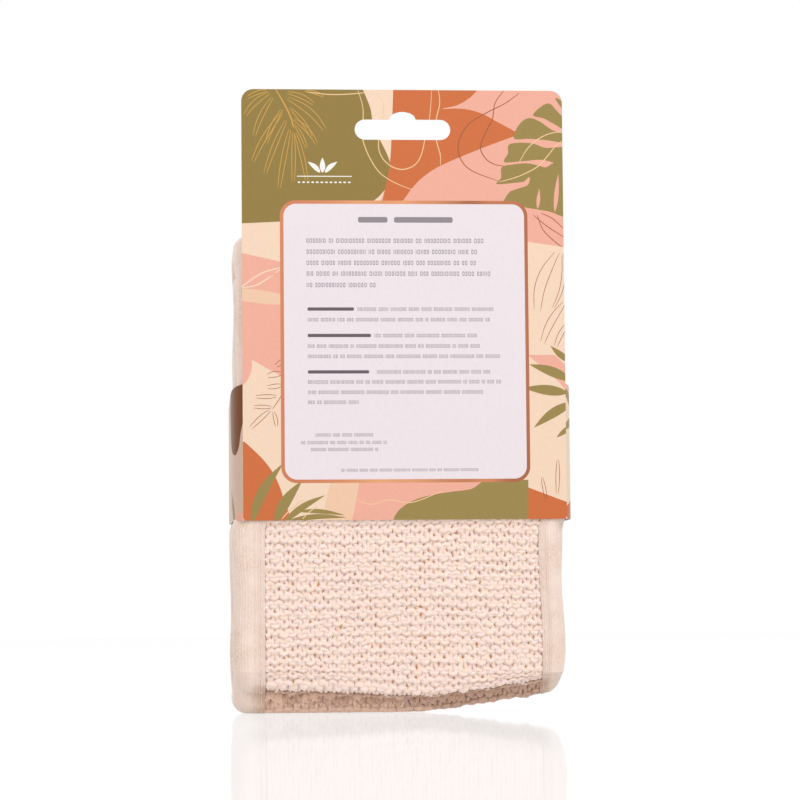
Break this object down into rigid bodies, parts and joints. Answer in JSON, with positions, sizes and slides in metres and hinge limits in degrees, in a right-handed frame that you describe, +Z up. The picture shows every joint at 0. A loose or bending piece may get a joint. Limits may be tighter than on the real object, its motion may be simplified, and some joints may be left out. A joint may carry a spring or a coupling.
{
  "type": "packaged loofah back strap",
  "caption": "Folded knit exfoliating back strap with bound edges and webbing hand loops, standing in a printed hang-card sleeve.",
  "frame": {"origin": "centre of the box round the whole pack, at the height of the flat under the bottom fold", "axes": "+Z up along the hang card, -Y out of the labelled card back, +X to the right as that side is read"},
  "size_m": [0.1146, 0.0486, 0.207],
  "materials": {
    "knit": "coarse cream loop knit of twisted exfoliating yarn",
    "foam": "soft wadding",
    "backing": "soft cream terry",
    "binding": "fine cream terry tape with stitch rows",
    "webbing": "woven cream nylon webbing",
    "printed_card": "satin coated card printed in olive, terracotta, pink and cream",
    "plain_card": "uncoated white card"
  },
  "bodies": {
    "strap": {"knit_face": "knit", "foam_core": "foam", "backing_panel": "backing", "left_edge_binding": "binding", "right_edge_binding": "binding", "inner_end_binding": "binding", "outer_end_binding": "binding", "inner_handle_loop": "webbing", "outer_handle_tail": "webbing"},
    "hand_loop": {"outer_handle_loop": "webbing"},
    "sleeve": {"label_panel": "printed_card", "left_side_wall": "printed_card", "right_side_wall": "printed_card", "display_panel": "printed_card", "glue_flap": "plain_card"},
    "header": {"header_card": "printed_card"}
  },
  "joints": [
    {"name": "sleeve_slide", "type": "slide", "parent": "strap", "child": "sleeve", "axis": [0, 0, 1], "range_m": [0, 0.12]},
    {"name": "header_flex", "type": "hinge", "parent": "sleeve", "child": "header", "pos_m": [0, -0.02405, 0.1087], "axis": [1, 0, 0], "range_deg": [0, 35], "stiffness_Nm_per_rad": 0.05},
    {"name": "hand_loop_swing", "type": "hinge", "parent": "strap", "child": "hand_loop", "pos_m": [0, 0.0169, 0.062], "axis": [1, 0, 0], "range_deg": [0, 80]}
  ]
}
